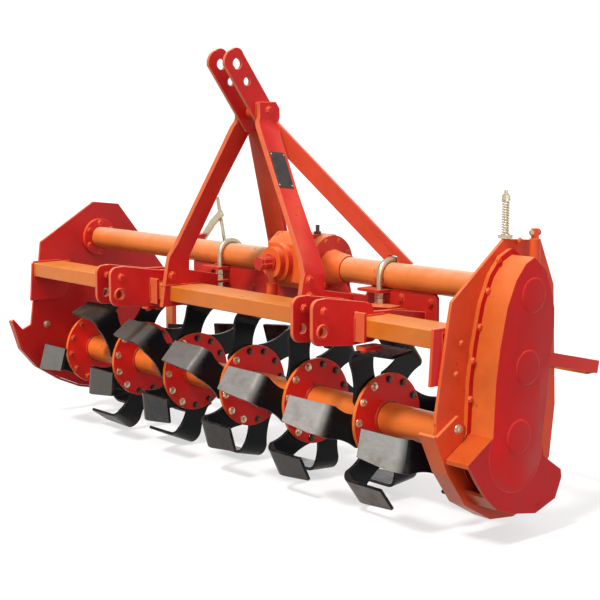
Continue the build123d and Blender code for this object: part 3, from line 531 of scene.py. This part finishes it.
# Gear case: wide rounded outer rim and soft, lowered embossings
case = {"outerX": 1650, "rim": 8.0, "emboss": 3.4, "bossHigh": 0.55, "guardTop": 42, "bossReach": 42,
        "bosses": ((36, 326), (22, 174), (-2, 28)), "sharp": 0.3}
mesh = mergedCopy("gear_case")
outer = at(case["outerX"], 0, 0).x
for vertex in mesh.verts:
    if vertex.co.x > outer + 0.5 * mm:
        vertex.co.x = outer + (vertex.co.x - outer) * case["bossHigh"]
rimEdges = []
bossEdges = []
for edge in mesh.edges:
    if len(edge.link_faces) != 2 or edge.calc_face_angle() < case["sharp"]:
        continue
    xs = [vertex.co.x for vertex in edge.verts]
    if max(abs(x - outer) for x in xs) < 0.4 * mm:
        middle = (edge.verts[0].co + edge.verts[1].co) / 2
        if any((middle - at(case["outerX"], y, z)).length < case["bossReach"] * mm for y, z in case["bosses"]):
            bossEdges.append(edge)
        elif middle.z > at(0, 0, case["guardTop"]).z:
            rimEdges.append(edge)
    elif min(xs) > outer + 1 * mm:
        bossEdges.append(edge)
roundEdges(mesh, rimEdges, case["rim"], 5)
roundEdges(mesh, [edge for edge in bossEdges if edge.is_valid], case["emboss"], 3)
finishPiece("gearCaseCasting", mesh, "frame", finishes["caseRed"], ("gear_case",), soften=1.0,
            angle=40, recalc=False)
print("gear case ready")

# Weld beads: ripples along a line, thinner at its ends
bead = {"radius": 3.0, "spacing": 4.0, "sides": 8, "ripple": 0.16, "endShare": 0.45}


def weldLine(mesh, start, end):
    count = max(4, int((end - start).length / mm / bead["spacing"]))
    points = [start.lerp(end, k / count) for k in range(count + 1)]
    ring = None
    for k, point in enumerate(points):
        ahead = points[min(k + 1, count)] - points[max(k - 1, 0)]
        size = bead["radius"] * (1.0 + (bead["ripple"] if k % 2 else -bead["ripple"]))
        if k in (0, count):
            size *= bead["endShare"]
        edges = edgesOf(bmesh.ops.create_circle(mesh, segments=bead["sides"], radius=size * mm,
                                                matrix=facing(point, ahead))["verts"])
        if ring:
            bmesh.ops.bridge_loops(mesh, edges=ring + edges)
        else:
            bmesh.ops.contextual_create(mesh, geom=edges)
        ring = edges
    bmesh.ops.contextual_create(mesh, geom=ring)


# Welds at the legs' feet, the hitch brackets' cheeks, the mast's head and the beam's end plates: x of each,
# then y and z of both ends
weldRuns = (
    ((606, 592, 1138, 1124), (-174, 259), (-98, 259)),
    ((606, 1138), (-94, 259), (-56, 259)),
    (cheekXs["heads"], (-150, 259), (-72, 259)),
    (cheekXs["heads"], (-163, 262), (-163, 210)),
    (cheekXs["heads"], (60, 226), (60, 249)),
    ((900, 830), (-104, 726), (-104, 692)),
    ((-100, 1562), (-155, 260), (-57, 260)),
)
mesh = bmesh.new()
for xs, start, end in weldRuns:
    for x in xs:
        weldLine(mesh, at(x, *start), at(x, *end))
finishPiece("frameWelds", mesh, "frame", finishes["weldRed"], angle=60)

# Ring welds where the discs meet the rotor tube
ringWeld = {"tube": 38.5, "radius": 4.2, "lift": 0.5, "shake": 0.4, "sides": 8, "steps": 72}
mesh = bmesh.new()
for i in range(rotor["discs"]):
    for way in (1, -1):
        centre = at(i * rotor["pitch"] + rotor["halfDisc"] * way, 0, 0)
        top = Matrix.Translation(centre + Vector((ringWeld["lift"] * way, 0, ringWeld["tube"])) * mm)
        made = bmesh.ops.create_circle(mesh, segments=ringWeld["sides"], radius=ringWeld["radius"] * mm,
                                       matrix=top @ Matrix.Rotation(math.pi / 2, 4, "Y") @ quarterTurn)["verts"]
        bmesh.ops.spin(mesh, geom=made + edgesOf(made), cent=centre, axis=right, angle=2 * math.pi,
                       steps=ringWeld["steps"], use_merge=True, use_duplicate=False)
rng = random.Random(7)
for vertex in mesh.verts:
    vertex.co += Vector([rng.uniform(-1, 1) for _ in range(3)]) * ringWeld["shake"] * mm
finishPiece("rotorWelds", mesh, "rotor", finishes["weldRed"], angle=80)
print("welds ready")

# Coil spring on the upright rod, with a washer at each end
spring = {"x": 1574, "y": 30, "low": 450, "high": 520, "radius": 7.4, "wire": 1.5, "sides": 8, "turns": 13,
          "stepsATurn": 20, "washers": (448.5, 521.5), "washerFoot": 9.8, "washerTop": 9.4, "washerThick": 2.4}
mesh = bmesh.new()
foot = at(spring["x"], spring["y"], spring["low"])
section = Matrix.Translation(foot + Vector((spring["radius"] * mm, 0, 0))) @ quarterTurn
made = bmesh.ops.create_circle(mesh, segments=spring["sides"], radius=spring["wire"] * mm,
                               matrix=section)["verts"]
loop = edgesOf(made)
bmesh.ops.contextual_create(mesh, geom=loop)
steps = spring["turns"] * spring["stepsATurn"]
spun = bmesh.ops.spin(mesh, geom=made + loop, cent=foot, axis=up, angle=2 * math.pi * spring["turns"],
                      steps=steps, dvec=(0, 0, (spring["high"] - spring["low"]) * mm / steps))["geom_last"]
bmesh.ops.contextual_create(mesh, geom=[e for e in spun if isinstance(e, bmesh.types.BMEdge)])
for z in spring["washers"]:
    bmesh.ops.create_cone(mesh, cap_ends=True, segments=24, radius1=spring["washerFoot"] * mm,
                          radius2=spring["washerTop"] * mm, depth=spring["washerThick"] * mm,
                          matrix=Matrix.Translation(at(spring["x"], spring["y"], z)))
finishPiece("coilSpring", mesh, "frame", finishes["zincPlate"], ("rod_spring",), angle=50)

# Painted splined end of the input shaft, with the locking groove behind its tip
shaft = {"x": 865, "z": 333, "back": 20, "step": -38, "front": -72, "journal": 22, "root": 15.2, "crest": 17.4,
         "splineTurn": 60, "rootTurn": 28, "groove": (9, 13), "grooveDeep": 1.6, "grooveWall": 0.4}
mesh = bmesh.new()
centre = at(shaft["x"], shaft["front"], shaft["z"])
ring = bmesh.ops.create_circle(mesh, cap_ends=True, segments=72, radius=shaft["crest"] * mm,
                               matrix=Matrix.Translation(centre) @ quarterTurn)["verts"]
for vertex in ring:
    away = vertex.co - centre
    turn = math.degrees(math.atan2(away.z, away.x)) % shaft["splineTurn"]
    if turn < shaft["rootTurn"]:
        vertex.co = centre + away * (shaft["root"] / shaft["crest"])
grown = bmesh.ops.extrude_face_region(mesh, geom=mesh.faces[:])["geom"]
bmesh.ops.translate(mesh, verts=[v for v in grown if isinstance(v, bmesh.types.BMVert)],
                    vec=(0, (shaft["step"] - shaft["front"]) * mm, 0))
for cut in shaft["groove"]:
    bmesh.ops.bisect_plane(mesh, geom=mesh.verts[:] + mesh.edges[:] + mesh.faces[:], dist=1e-6,
                           plane_co=centre + Vector((0, cut * mm, 0)), plane_no=rear)
low, high = (cut * mm for cut in shaft["groove"])
groove = [face for face in mesh.faces if low < (face.calc_center_median() - centre).y < high]
bmesh.ops.inset_region(mesh, faces=groove, thickness=shaft["grooveWall"] * mm, depth=-shaft["grooveDeep"] * mm,
                       use_even_offset=True)
journalPlace = Matrix.Translation(at(shaft["x"], (shaft["back"] + shaft["step"]) / 2, shaft["z"])) @ quarterTurn
bmesh.ops.create_cone(mesh, cap_ends=True, segments=64, radius1=shaft["journal"] * mm,
                      radius2=shaft["journal"] * mm, depth=(shaft["back"] - shaft["step"]) * mm,
                      matrix=journalPlace)
finishPiece("splinedShaft", mesh, "input", finishes["webShadeRed"], ("input_shaft",), soften=0.6,
            angle=30)
print("drive end ready")

# Rivets at the corners of the blank plate
rivet = {"radius": 2.2, "flat": 0.5, "inward": 0.13}
plateLow, plateHigh = (Vector(p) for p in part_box("blank_plate"))
middle = (plateLow + plateHigh) / 2
plate = frame["nodes"]["blank_plate"].data
largest = sorted(plate.polygons, key=lambda face: -face.area)
normal = next(face.normal.copy() for face in largest if face.normal.x > 0)
mesh = bmesh.new()
corners = []
for vertex in plate.vertices:
    outward = (vertex.co - middle).dot(normal)
    if outward > 0 and all((vertex.co - other).length > 0.01 for other in corners):
        corners.append(vertex.co.copy())
        spot = vertex.co.lerp(middle + normal * outward, rivet["inward"])
        bmesh.ops.create_uvsphere(mesh, u_segments=16, v_segments=8, radius=rivet["radius"] * mm,
                                  matrix=facing(spot, normal) @ Matrix.Diagonal((1, 1, rivet["flat"], 1)))
finishPiece("plateRivets", mesh, "frame", finishes["zincPlate"], angle=60)

# Cross bolt on the case's post, and the nut on the upright rod
crossBolt = {"x": 1610, "z": 452, "head": 72, "nut": 96, "size": 5.0, "rod": 2.8, "long": 26}
rodNut = {"y": 30, "z": 532, "size": 6.0}
mesh = bmesh.new()
for y, direction in ((crossBolt["head"], front), (crossBolt["nut"], rear)):
    addBolt(mesh, facing(at(crossBolt["x"], y, crossBolt["z"]), direction), crossBolt["size"])
halfway = (crossBolt["head"] + crossBolt["nut"]) / 2
bmesh.ops.create_cone(mesh, cap_ends=True, segments=16, radius1=crossBolt["rod"] * mm,
                      radius2=crossBolt["rod"] * mm, depth=crossBolt["long"] * mm,
                      matrix=facing(at(crossBolt["x"], halfway, crossBolt["z"]), rear))
addBolt(mesh, facing(at(spring["x"], rodNut["y"], rodNut["z"]), up), rodNut["size"], washer=False)
finishPiece("topFittings", mesh, "frame", finishes["zincPlate"], angle=28)

# Lugs under the hitch brackets, each with two bolts from below
lug = {"xs": (1322, 484), "y": -125, "z": 190, "wide": 34, "deep": 60, "thick": 9, "corner": 10,
       "boltYs": (-142, -110), "boltSize": 8.0}
for k, x in enumerate(lug["xs"]):
    mesh = bmesh.new()
    block = Matrix.Diagonal((lug["wide"] * mm, lug["deep"] * mm, lug["thick"] * mm, 1))
    bmesh.ops.create_cube(mesh, size=1.0, matrix=Matrix.Translation(at(x, lug["y"], lug["z"])) @ block)
    uprights = [edge for edge in mesh.edges if abs((edge.verts[0].co - edge.verts[1].co).z) > 5 * mm]
    roundEdges(mesh, uprights, lug["corner"], 6)
    for y in lug["boltYs"]:
        addBolt(mesh, facing(at(x, y, lug["z"] - lug["thick"] / 2), down), lug["boltSize"])
    finishPiece("underLug%d" % (k + 1), mesh, "frame", finishes["plateRed"], soften=1.0, angle=32)
print("fittings ready")

# The floor is white to the camera with a soft shadow, and mid grey to the light that bounces off it
stage = {"size": 30, "white": 0.6, "seenColour": (0.9, 0.9, 0.9, 1), "bounceColour": (0.16, 0.16, 0.16, 1)}
material, tree, shader = startMaterial("paleFloor")
path = tree.nodes.new("ShaderNodeLightPath").outputs
seen = maths(tree, "MAXIMUM", path["Is Camera Ray"], path["Is Glossy Ray"])
tree.links.new(mixColour(tree, seen, stage["bounceColour"], stage["seenColour"]), shader.inputs["Base Color"])
shader.inputs["Roughness"].default_value = 0.95
shader.inputs["Specular IOR Level"].default_value = 0.0
glow = wire(tree, "ShaderNodeEmission", {0: (1, 1, 1, 1), 1: 1.0})
blend = wire(tree, "ShaderNodeMixShader", {0: times(tree, seen, stage["white"]), 1: shader.outputs[0],
                                           2: glow.outputs[0]})
end = next(node for node in tree.nodes if node.type == "OUTPUT_MATERIAL")
tree.links.new(blend.outputs[0], end.inputs[0])

mesh = bmesh.new()
bmesh.ops.create_grid(mesh, x_segments=1, y_segments=1, size=stage["size"])
data = bpy.data.meshes.new("floor")
mesh.to_mesh(data)
mesh.free()
data.materials.append(material)
floor = bpy.data.objects.new("floor", data)
scene.collection.objects.link(floor)
floor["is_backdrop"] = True

# The room is white to the camera, and a soft light from above to everything else
room = {"colour": (1.0, 0.98, 0.95, 1), "low": 0.52, "high": 0.76}
world = bpy.data.worlds.new("softRoom")
scene.world = world
world.use_nodes = True
tree = world.node_tree
tree.nodes.clear()
path = tree.nodes.new("ShaderNodeLightPath").outputs
seen = maths(tree, "MAXIMUM", path["Is Camera Ray"], path["Is Transmission Ray"])
direction = tree.nodes.new("ShaderNodeTexCoord").outputs["Generated"]
rise = wire(tree, "ShaderNodeSeparateXYZ", {0: direction}).outputs[2]
strength = ramp(tree, rise, -0.1, 0.8, room["low"], room["high"])
soft = wire(tree, "ShaderNodeBackground", {0: room["colour"], 1: strength})
white = wire(tree, "ShaderNodeBackground", {0: (1, 1, 1, 1), 1: 1.0})
blend = wire(tree, "ShaderNodeMixShader", {0: seen, 1: soft.outputs[0], 2: white.outputs[0]})
tree.links.new(blend.outputs[0], wire(tree, "ShaderNodeOutputWorld").inputs[0])

# Suns: bearing from the front and height in degrees, strength, spread in degrees, colour
suns = {
    "keyLight": (8, 56, 2.9, 9, (1.0, 0.98, 0.95)),
    "fillLight": (74, 16, 1.2, 50, (1, 1, 1)),
    "backLight": (215, 24, 0.8, 50, (1, 1, 1)),
}
for name, (bearing, height, strength, spread, tint) in suns.items():
    lamp = bpy.data.lights.new(name, "SUN")
    lamp.energy = strength
    lamp.angle = math.radians(spread)
    lamp.color = tint
    sun = bpy.data.objects.new(name, lamp)
    a, h = math.radians(bearing), math.radians(height)
    toLight = Vector((math.sin(a) * math.cos(h), -math.cos(a) * math.cos(h), math.sin(h)))
    sun.rotation_euler = toLight.to_track_quat("Z", "Y").to_euler()
    scene.collection.objects.link(sun)

view = {"place": (3491.70, -2181.54, 714.53), "turn": 49.47, "drop": 7.99, "lens": 82.29, "sensor": 36}
turn, drop = math.radians(view["turn"]), math.radians(view["drop"])
lens = bpy.data.cameras.new("camera")
lens.lens = view["lens"]
lens.sensor_width = view["sensor"]
camera = bpy.data.objects.new("camera", lens)
camera.location = at(*view["place"])
ahead = Vector((-math.sin(turn) * math.cos(drop), math.cos(turn) * math.cos(drop), -math.sin(drop)))
camera.rotation_euler = ahead.to_track_quat("-Z", "Y").to_euler()
scene.collection.objects.link(camera)
scene.camera = camera
scene.view_settings.view_transform = "Standard"
print("stage ready")

low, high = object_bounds()
